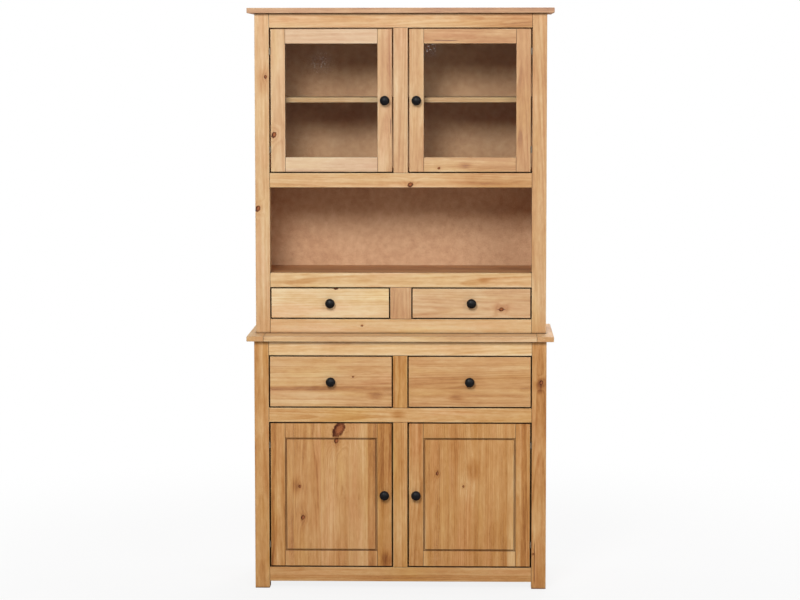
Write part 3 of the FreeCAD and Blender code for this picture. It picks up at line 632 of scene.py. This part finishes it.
def hardboard_finish():
    """Brown pressed board: fine mottled fibres, and the screen's weave on the rear side."""
    recipe = Recipe("hardboard")
    place = recipe.own_place()
    speckle = recipe.cloud(place, 560.0)
    shade = recipe.total(recipe.times(speckle, 0.50),
                         recipe.times(recipe.cloud(place, 46.0, 3.0, 0.55), 0.25),
                         recipe.times(recipe.cloud(place, 5.0), 0.25))
    facing = recipe.parts(recipe.add("NewGeometry").outputs["Normal"])
    rear = recipe.span(facing[1], 0.4, 0.6)
    weave = recipe.total(*[recipe.noise(recipe.stretched(place, scales)) for scales in WEAVE_SCALES])
    tint = recipe.mix(recipe.times(rear, 0.15), recipe.ramp(shade, HARDBOARD_SHADES), HARDBOARD_REAR)
    relief = recipe.total(recipe.times(weave, recipe.times(rear, 2.0)), recipe.times(speckle, 0.8))
    return recipe.surface(tint, 0.72, (relief, 0.0002, 0.5))


def knob_finish():
    """Turned wood under a black satin lacquer, rubbed thin on the rim."""
    recipe = Recipe("black_knob")
    place = recipe.own_place()
    smudge = recipe.cloud(place, 90.0)
    edge = recipe.span(recipe.add("NewGeometry").outputs["Pointiness"], 0.53, 0.60)
    tint = recipe.mix(recipe.times(recipe.times(edge, smudge), 0.5), KNOB_BLACK, KNOB_RUBBED)
    return recipe.surface(tint, recipe.span(smudge, 0.3, 0.7, 0.36, 0.48),
                          (recipe.cloud(place, 700.0, 3.0, 0.6), 0.0001, 0.35),
                          Specular_IOR_Level=0.16)


def steel_finish():
    """Zinc-plated steel with faint drawing lines and dull spots."""
    recipe = Recipe("plated_steel")
    place = recipe.own_place()
    spots = recipe.cloud(place, 260.0)
    lines = recipe.cloud(recipe.stretched(place, DRAWING_LINES), 1.0)
    return recipe.surface(recipe.mix(spots, STEEL_DULL, STEEL_BRIGHT),
                          recipe.span(spots, 0.3, 0.7, 0.28, 0.42), (lines, 0.00005, 0.4),
                          Metallic=1.0)


def glass_finish():
    """Clear glass: it lets the light through, mirrors the room at its surface, and has smudges."""
    recipe = Recipe("pane_glass")
    place = recipe.own_place()
    smudged = 0.0
    for spot, reach in SMUDGES:
        away = recipe.distance("DISTANCE", place, spot)
        smudged = recipe.maths("MAXIMUM", smudged, recipe.span(away, reach, 0.0))
    specks = recipe.span(recipe.cloud(place, *SPECKS), 0.53, 0.68)
    smudged = recipe.times(smudged, specks)
    gloss = recipe.total(recipe.span(recipe.cloud(place, *GLOSS_PATCHES), 0.45, 0.75, 0.02, 0.22),
                         recipe.times(smudged, SMUDGE_ROUGHNESS))
    waves = recipe.bump(recipe.cloud(place, *WAVES), 0.0004, 0.25)
    mirror = recipe.add("BsdfAnisotropic", Color=PANE_MIRROR, Roughness=gloss, Normal=waves)
    clear = recipe.add("BsdfTransparent", Color=PANE_CLEAR)
    outside = recipe.minus(1.0, recipe.add("NewGeometry").outputs["Backfacing"])
    mirrored = recipe.maths("POWER", recipe.add("Fresnel", IOR=GLASS_BENDING).outputs[0], 1.5)
    share = recipe.times(outside, recipe.total(mirrored, recipe.times(smudged, SMUDGE_SHARE)))
    return recipe.finish(recipe.blend(share, clear, mirror))


# Boards


def welded_copy(node):
    """A copy of a CAD node's mesh with its doubles merged and its flat faces whole."""
    shape = bmesh.new()
    shape.from_mesh(frame["nodes"][node].data)
    bmesh.ops.remove_doubles(shape, verts=shape.verts, dist=WELD)
    bmesh.ops.dissolve_limit(shape, angle_limit=FLAT_ANGLE, verts=shape.verts, edges=shape.edges)
    return shape


def separate_boards(shape):
    """The corners of each board of a mesh, from left to right and then upwards."""
    boards, seen = [], set()
    for start in shape.verts:
        if start in seen:
            continue
        board, waiting = [], [start]
        seen.add(start)
        while waiting:
            corner = waiting.pop()
            board.append(corner)
            for edge in corner.link_edges:
                other = edge.other_vert(corner)
                if other not in seen:
                    seen.add(other)
                    waiting.append(other)
        boards.append(board)
    return sorted(boards, key=lambda board: [round(value, 2) for value in (
        min(corner.co.x for corner in board), min(corner.co.z for corner in board))])


def box_of(board):
    low = Vector([min(corner.co[axis] for corner in board) for axis in range(3)])
    high = Vector([max(corner.co[axis] for corner in board) for axis in range(3)])
    return low, high


def grain_axes(low, high):
    """The axes along the grain, across it and through the board: longest, middle and shortest."""
    size = high - low
    return sorted(range(3), key=lambda axis: -round(size[axis], 3))


def place_in(low, high, axes, point):
    """Where a point lies along and across a board, or nothing where it isn't on that board."""
    if all(low[axis] - TOUCH <= point[axis] <= high[axis] + TOUCH for axis in range(3)):
        return [point[axis] - (low[axis] + high[axis]) / 2 for axis in axes[:2]]
    return None


def knots_in(node, *board):
    """The knots of a board in its own grain places, made up to the number that the finish reads."""
    found = [(place_in(*board, point), radius) for point, radius in KNOTS.get(node, ())]
    knots = [(*place, radius) for place, radius in found if place]
    return (knots + [NO_KNOT] * len(KNOT_NAMES))[:len(KNOT_NAMES)]


def band_in(node, *board):
    point, half_width, deeper = BANDS.get(node, (FAR_OFF, 0.0, 0.0))
    place = place_in(*board, point)
    return (place[1], half_width, deeper) if place else NO_BAND


def spot_in(spots, node, *board):
    """Where a patch or crack lies on a board, with its size, or one that lies nowhere near."""
    point, size = spots.get(node, (FAR_OFF, 0.0))
    place = place_in(*board, point)
    return (*place, size) if place else NO_SPOT


def board_values(node, index, low, high, axes):
    """What the pine finish reads about one board, by the names of the attributes."""
    chance = random.Random("%s %d" % (node, index))
    width, thickness = [(high - low)[axis] for axis in axes[1:]]
    depths = DEPTHS_WITH_PAINTED_SHADE.get(node, ())
    depth = depths[index] if index < len(depths) else (
        PLAIN_DEPTH + chance.uniform(-DEPTH_SPREAD, DEPTH_SPREAD))
    glued_up = node in GLUED_UP
    values = {
        "board_traits": (chance.random(), depth,
                         ROSE_SHARES.get(node, chance.uniform(0.0, PLAIN_ROSE_SHARE))),
        "board_heart": (chance.uniform(*HEART_ASIDE_SHARES) * min(width, WIDE_BOARD),
                        thickness / 2 + chance.uniform(*HEART_UNDER),
                        chance.choice((-1, 1)) * chance.uniform(*HEART_SLOPES)),
        "board_strips": (STRIP_WIDTH * chance.uniform(*STRIP_WIDTH_SHARES) if glued_up else ONE_PIECE,
                         STRIP_CONTRAST if glued_up else 0.0, chance.uniform(*STRIP_STARTS)),
        "board_band": band_in(node, low, high, axes),
        "board_patch": spot_in(PATCHES_AND_PAINTED_SHADE, node, low, high, axes),
        "board_crack": spot_in(CRACKS, node, low, high, axes),
    }
    values.update(zip(KNOT_NAMES, knots_in(node, low, high, axes)))
    return values


def write_grain(shape, node):
    """Gives every board of a mesh its grain, tone and marks, as attributes for the pine finish."""
    corners, faces = shape.verts.layers.float_vector, shape.faces.layers.float_vector
    place = corners.new("grain_place")
    layers = {name: corners.new(name) for name in BOARD_NAMES + KNOT_NAMES}
    worked = faces.new("worked_face")
    for index, board in enumerate(separate_boards(shape)):
        low, high = box_of(board)
        middle = (low + high) / 2
        axes = grain_axes(low, high)
        values = board_values(node, index, low, high, axes)
        for corner in board:
            offset = corner.co - middle
            corner[place] = [offset[axis] for axis in axes]
            for name, layer in layers.items():
                corner[layer] = values[name]
        for face in {face for corner in board for face in corner.link_faces}:
            normal = [abs(value) for value in face.normal]
            face[worked] = (float(normal[axes[0]] > END_SHARE),
                            float(max(normal) < EASED_SHARE), 0.0)


def soften_edges(piece):
    """Shades the eased edges as rounded ones, while the broad faces stay flat."""
    weighted = piece.modifiers.new("Soft_edges", "WEIGHTED_NORMAL")
    weighted.weight = 100
    weighted.keep_sharp = True
    return settled(piece)


def settled(piece):
    """The piece with its modifiers worked into a plain mesh."""
    shown = piece.evaluated_get(bpy.context.evaluated_depsgraph_get())
    mesh = bpy.data.meshes.new_from_object(shown)
    piece.modifiers.clear()
    spare = piece.data
    piece.data = mesh
    bpy.data.meshes.remove(spare)
    mesh.name = piece.name
    return piece


def new_object(name, data):
    """An object that stands in the scene."""
    thing = bpy.data.objects.new(name, data)
    bpy.context.scene.collection.objects.link(thing)
    return thing


def new_piece(name, shape, finish):
    """An object from mesh work, shaded smooth up to the sharp edges."""
    mesh = bpy.data.meshes.new(name)
    for edge in shape.edges:
        edge.smooth = len(edge.link_faces) == 2 and edge.calc_face_angle(0.0) < EASED_ANGLE
    for face in shape.faces:
        face.smooth = True
    shape.to_mesh(mesh)
    shape.free()
    mesh.materials.append(finish)
    return new_object(name, mesh)


def dress(node, word, finish, grained=False):
    """Stands a dressed copy in the place of a CAD node."""
    shape = welded_copy(node)
    if grained:
        write_grain(shape, node)
    piece = soften_edges(new_piece("%s_%s" % (word, node), shape, finish))
    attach(piece, BODY_OF[node])
    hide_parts(node)
    return piece


# Knobs

KNOB_STEPS = 48
ARC_STEPS = 7
# A ring narrower than this is drawn as one point
TIP_RADIUS = 1e-4
# Radii as shares of the rim's
FOOT_SHARE = 0.533
NECK_SHARE = 0.367
# Heights as shares of the whole knob
FOOT_HEIGHT_SHARE = 0.08
NECK_HEIGHT_SHARE = 0.32
UNDERSIDE_HEIGHT_SHARE = 0.60
RIM_HEIGHT_SHARE = 0.68


def knob_profile(radius, proud):
    """Radii and heights from the foot to the top of the dome."""
    foot, neck = radius * FOOT_SHARE, radius * NECK_SHARE
    foot_high, neck_high = proud * FOOT_HEIGHT_SHARE, proud * NECK_HEIGHT_SHARE
    points = [(0.0, 0.0), (foot, 0.0), (foot, foot_high)]
    for step in range(1, ARC_STEPS + 1):
        turn = step / ARC_STEPS * math.pi / 2
        points.append((foot - (foot - neck) * math.sin(turn),
                       neck_high - (neck_high - foot_high) * math.cos(turn)))
    rim_low, rim_high = proud * UNDERSIDE_HEIGHT_SHARE, proud * RIM_HEIGHT_SHARE
    roll = (rim_high - rim_low) / 2
    for step in range(ARC_STEPS + 1):
        turn = (step / ARC_STEPS - 0.5) * math.pi
        points.append((radius - roll + roll * math.cos(turn), rim_low + roll + roll * math.sin(turn)))
    for step in range(1, 2 * ARC_STEPS + 1):
        turn = step / (2 * ARC_STEPS) * math.pi / 2
        points.append(((radius - roll) * math.cos(turn),
                       rim_high + (proud - rim_high) * math.sin(turn)))
    return points


def turned_knob(node, finish):
    """A turned knob in the place of its CAD solid, with a rolled rim and a full dome."""
    low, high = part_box(node)
    middle = (low + high) / 2
    profile = knob_profile((high.x - low.x) / 2, high.y - low.y)
    shape = bmesh.new()
    rings = []
    for radius, height in profile:
        if radius < TIP_RADIUS:
            rings.append([shape.verts.new((middle.x, high.y - height, middle.z))])
            continue
        rings.append([shape.verts.new((middle.x + radius * math.cos(step / KNOB_STEPS * math.tau),
                                       high.y - height,
                                       middle.z + radius * math.sin(step / KNOB_STEPS * math.tau)))
                      for step in range(KNOB_STEPS)])
    for first, second in zip(rings, rings[1:]):
        for step in range(KNOB_STEPS):
            following = (step + 1) % KNOB_STEPS
            corners = [first[step % len(first)], first[following % len(first)],
                       second[following % len(second)], second[step % len(second)]]
            shape.faces.new(list(dict.fromkeys(corners)))
    bmesh.ops.recalc_face_normals(shape, faces=shape.faces)
    piece = new_piece("turned_" + node, shape, finish)
    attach(piece, BODY_OF[node])
    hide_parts(node)


# Screws

HINGE_HEAD, PANEL_HEAD, KNOB_HEAD = 0.0036, 0.0062, 0.0085
HEAD_SIDES = 24
# Sizes as shares of the head's width
HEAD_HEIGHT_SHARE, HEAD_TOP_SHARE = 0.16, 0.66
RECESS_LENGTH_SHARE, RECESS_WIDTH_SHARE = 0.52, 0.13
DISH_BOTTOM_SHARE, DISH_RIM_SHARE = 1.04, 2.04
# How high the recess lies, as a share of the head's height
RECESS_LIFT_SHARE = 0.9
# Where screws sit on a hinge leaf, as shares of its height and depth
LEAF_SCREW_HEIGHT_SHARES, LEAF_SCREW_DEPTH_SHARE = (0.25, 0.75), 0.62
# How near its rear edge a leaf's corners tell where its flat face lies
LEAF_REAR = 1e-5
DISH_DEPTH = 0.0012
RIM_ANGLE = math.radians(15)
PANEL_SCREW_SPACING = 0.13
PANEL_SCREW_INSET = 0.012


def screw_tree(finish):
    """Geometry Nodes that set a cross-recessed head on every point, facing its own way."""
    tree = bpy.data.node_groups.new("screw_heads", "GeometryNodeTree")
    for in_out in ("OUTPUT", "INPUT"):
        tree.interface.new_socket("Geometry", in_out=in_out, socket_type="NodeSocketGeometry")
    for name, value in (("Head height", HEAD_HEIGHT_SHARE), ("Recess length", RECESS_LENGTH_SHARE),
                        ("Recess width", RECESS_WIDTH_SHARE)):
        socket = tree.interface.new_socket(name, in_out="INPUT", socket_type="NodeSocketFloat")
        socket.default_value = value
    given, result = add_node(tree, "NodeGroupInput"), add_node(tree, "NodeGroupOutput")
    height, length, width = [given.outputs[name] for name in (
        "Head height", "Recess length", "Recess width")]
    head = add_node(tree, "GeometryNodeMeshCone", Vertices=HEAD_SIDES,
                    Radius_Top=HEAD_TOP_SHARE / 2, Radius_Bottom=0.5, Depth=height)
    raised = add_node(tree, "ShaderNodeCombineXYZ", Z=maths(tree, "MULTIPLY", height, RECESS_LIFT_SHARE))
    recessed = add_node(
        tree, "GeometryNodeMeshBoolean", {"operation": "DIFFERENCE", "solver": "EXACT"},
        Mesh_1=head.outputs["Mesh"])
    for long, wide in ((length, width), (width, length)):
        extent = add_node(tree, "ShaderNodeCombineXYZ", X=long, Y=wide, Z=height)
        bar = add_node(tree, "GeometryNodeMeshCube", Size=extent.outputs[0])
        placed = add_node(tree, "GeometryNodeTransform", Geometry=bar.outputs[0],
                          Translation=raised.outputs[0])
        feed(tree, recessed.inputs["Mesh 2"], placed.outputs[0])
    facing, size = [
        add_node(tree, "GeometryNodeInputNamedAttribute", {"data_type": kind}, Name=name)
        for name, kind in (("facing", "FLOAT_VECTOR"), ("head_size", "FLOAT"))]
    turned = add_node(tree, "FunctionNodeAlignRotationToVector", {"axis": "Z"},
                      Vector=facing.outputs["Attribute"])
    set_out = add_node(tree, "GeometryNodeInstanceOnPoints", Points=given.outputs["Geometry"],
                       Instance=recessed.outputs["Mesh"], Rotation=turned.outputs[0],
                       Scale=size.outputs["Attribute"])
    real = add_node(tree, "GeometryNodeRealizeInstances", Geometry=set_out.outputs[0])
    finished = add_node(tree, "GeometryNodeSetMaterial", Geometry=real.outputs[0], Material=finish)
    feed(tree, result.inputs[0], finished.outputs[0])
    return tree


def screws(body, spots, tree):
    """The screw heads of one body. A spot is a point on a surface, the way out and the head's size."""
    mesh = bpy.data.meshes.new("screws_" + body)
    mesh.from_pydata([tuple(point) for point, way, size in spots], [], [])
    facing = mesh.attributes.new("facing", "FLOAT_VECTOR", "POINT")
    facing.data.foreach_set("vector", [value for point, way, size in spots for value in way])
    sizes = mesh.attributes.new("head_size", "FLOAT", "POINT")
    sizes.data.foreach_set("value", [size for point, way, size in spots])
    piece = new_object("screws_" + body, mesh)
    grown = piece.modifiers.new("Screw_heads", "NODES")
    grown.node_group = tree
    settled(piece)
    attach(piece, body)


def leaf_face(leaf, way):
    """Where the flat face of a hinge leaf lies that looks the given way along X."""
    rear = max(corner.co.y for corner in leaf)
    flat = [corner.co.x for corner in leaf if corner.co.y > rear - LEAF_REAR]
    return max(flat) if way > 0 else min(flat)


def leaf_spots(node, way):
    """Two screws on each leaf of a hinge, on the side that shows when the door is open."""
    spots = []
    shape = welded_copy(node)
    for leaf in separate_boards(shape):
        low, high = box_of(leaf)
        side = 1 if (low.x + high.x) > 0 else -1
        for share in LEAF_SCREW_HEIGHT_SHARES:
            spots.append(((leaf_face(leaf, side * way),
                           low.y + (high.y - low.y) * LEAF_SCREW_DEPTH_SHARE,
                           low.z + (high.z - low.z) * share), (side * way, 0, 0), HINGE_HEAD))
    shape.free()
    return spots


def panel_spots(node):
    """Screws round the rear side of a back panel, each at the bottom of its dish."""
    low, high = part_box(node)
    left, right = low.x + PANEL_SCREW_INSET, high.x - PANEL_SCREW_INSET
    bottom, top = low.z + PANEL_SCREW_INSET, high.z - PANEL_SCREW_INSET
    columns = round((right - left) / PANEL_SCREW_SPACING)
    rows = round((top - bottom) / PANEL_SCREW_SPACING)
    places = [(left + (right - left) * step / columns, z) for step in range(columns + 1)
              for z in (bottom, top)]
    places += [(x, bottom + (top - bottom) * step / rows) for step in range(1, rows)
               for x in (left, right)]
    return [((x, high.y - DISH_DEPTH, z), (0, 1, 0), PANEL_HEAD) for x, z in places]


def countersink(panel, spots):
    """Cuts a dish for each screw head into a panel, so that no head stands proud."""
    shape = bmesh.new()
    for point, way, size in spots:
        bmesh.ops.create_cone(
            shape, cap_ends=True, segments=HEAD_SIDES, radius1=size / 2 * DISH_BOTTOM_SHARE,
            radius2=size / 2 * DISH_RIM_SHARE, depth=2 * DISH_DEPTH,
            matrix=Matrix.Translation(Vector(point) + Vector(way) * DISH_DEPTH)
            @ Vector(way).to_track_quat("Z", "Y").to_matrix().to_4x4())
    cutter = new_piece("dishes", shape, panel.data.materials[0])
    cut = panel.modifiers.new("Dishes", "BOOLEAN")
    cut.object = cutter
    settled(panel).data.set_sharp_from_angle(angle=RIM_ANGLE)
    soften_edges(panel)
    spare = cutter.data
    bpy.data.objects.remove(cutter)
    bpy.data.meshes.remove(spare)


def knob_spot(body, front):
    """The screw that holds a knob, on the rear side of its board."""
    low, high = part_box(body + "_knob")
    return (((low.x + high.x) / 2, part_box(front)[1].y, (low.z + high.z) / 2), (0, 1, 0), KNOB_HEAD)


# The room

WHITE = (1.0, 1.0, 1.0, 1.0)
FLOOR_GREY = (0.62, 0.62, 0.62, 1.0)
FLOOR_REACH, FLOOR_NEAR, FLOOR_FAR = 40.0, 0.9, 2.6
# How white the camera sees the floor near the object, where its shadow is to show
FLOOR_WHITE_SHARE = 0.86
ROOM_LEVEL = 0.05
# Where each lamp hangs, how wide it is and its power in watts
LAMPS = {
    "key_lamp": ((-1.0, -4.9, 3.5), 1.8, 208.0),
    "fill_lamp": ((2.8, -4.4, 2.9), 2.4, 73.0),
    "left_lamp": ((-4.6, 1.4, 2.4), 2.6, 80.0),
    "right_lamp": ((4.6, 1.4, 2.4), 2.6, 80.0),
    "top_lamp": ((0.0, 1.4, 5.4), 2.6, 60.0),
    "rear_lamp": ((0.6, 4.2, 4.3), 2.2, 150.0),
}
LAMP_AIM = Vector((0.0, 0.0, 0.95))
# The photograph was taken from a little right of the middle, well back, with a long lens
CAMERA_PLACE = (0.212, -8.0, 1.642)
CAMERA_DOWN = math.radians(5.217)
CAMERA_LEFT = math.radians(1.55)
CAMERA_ROLL = math.radians(0.05)
CAMERA_LENS = 114.7
CAMERA_SHIFT = -0.010


def stage_floor():
    """A pale floor that the camera sees as white, with the object's shadow on it."""
    shape = bmesh.new()
    bmesh.ops.create_grid(shape, x_segments=2, y_segments=2, size=FLOOR_REACH)
    recipe = Recipe("pale_floor")
    matt = recipe.add("BsdfDiffuse", Color=FLOOR_GREY)
    white = recipe.add("Emission", Color=WHITE, Strength=1.0)
    rays = recipe.add("LightPath").outputs["Is Camera Ray"]
    away = recipe.distance("LENGTH", recipe.own_place())
    share = recipe.times(rays, recipe.span(away, FLOOR_NEAR, FLOOR_FAR, FLOOR_WHITE_SHARE, 1.0))
    floor = new_piece("floor", shape, recipe.finish(recipe.blend(share, matt, white)))


def stage_world():
    """White behind the object and in its reflections, and a soft light from all round."""
    world = bpy.data.worlds.new("studio")
    world.use_nodes = True
    tree = world.node_tree
    tree.nodes.clear()
    rays = add_node(tree, "ShaderNodeLightPath")
    seen = rays.outputs["Is Camera Ray"]
    for name in ("Is Glossy Ray", "Is Transmission Ray"):
        seen = maths(tree, "MAXIMUM", seen, rays.outputs[name])
    strength = add_node(tree, "ShaderNodeMapRange", Value=seen, To_Min=ROOM_LEVEL, To_Max=1.0)
    background = add_node(tree, "ShaderNodeBackground", Color=WHITE,
                          Strength=strength.outputs["Result"])
    add_node(tree, "ShaderNodeOutputWorld", Surface=background.outputs[0])
    bpy.context.scene.world = world


def stage_lamps():
    """Soft round lamps about the object, all turned to its middle."""
    for name, (place, size, power) in LAMPS.items():
        lamp = bpy.data.lights.new(name, "AREA")
        lamp.shape = "DISK"
        lamp.size = size
        lamp.energy = power
        holder = new_object(name, lamp)
        holder.location = place
        holder.rotation_euler = (LAMP_AIM - Vector(place)).to_track_quat("-Z", "Y").to_euler()


def stage_camera():
    """The camera of the photograph."""
    camera = bpy.data.cameras.new("camera")
    camera.lens = CAMERA_LENS
    camera.sensor_width = 36.0
    camera.shift_y = CAMERA_SHIFT
    holder = new_object("camera", camera)
    holder.location = CAMERA_PLACE
    holder.rotation_euler = Euler((math.pi / 2 - CAMERA_DOWN, CAMERA_ROLL, CAMERA_LEFT))
    bpy.context.scene.camera = holder


def main():
    """Dresses every node, sets the screws, and stages the room."""
    pine = pine_finish("lacquered_pine", PALE_TO_DARK, roughness=0.50, gleam=0.12)
    inner_pine = pine_finish("planed_pine", RAW_PALE_TO_DARK, roughness=0.66, gleam=0.12)
    hardboard, knob = hardboard_finish(), knob_finish()
    steel, glass = steel_finish(), glass_finish()
    for node in PINE_NODES:
        dress(node, "timber", pine, grained=True)
    for node in INNER_PINE_NODES:
        dress(node, "timber", inner_pine, grained=True)
    spots = {"cabinet": leaf_spots("hinge_leaves", -1)}
    for node in HARDBOARD_NODES:
        round_panel = panel_spots(node)
        countersink(dress(node, "panel", hardboard), round_panel)
        spots["cabinet"] += round_panel
    for node in STEEL_NODES:
        dress(node, "metal", steel)
    for node in PANE_NODES:
        pane = frame["nodes"][node]
        for slot in pane.material_slots:
            slot.material = glass
    for node in KNOB_NODES:
        turned_knob(node, knob)
    tree = screw_tree(steel)
    for body in frame["bodies"]:
        if body in DOORS:
            spots[body] = leaf_spots(body + "_hinge_leaves", 1)
            spots[body].append(knob_spot(body, body + "_stiles"))
        elif body.endswith("drawer"):
            spots[body] = [knob_spot(body, body + "_front")]
    for body, places in spots.items():
        screws(body, places, tree)
    stage_floor()
    stage_world()
    stage_lamps()
    stage_camera()
    bpy.context.scene.view_settings.view_transform = "Standard"


main()
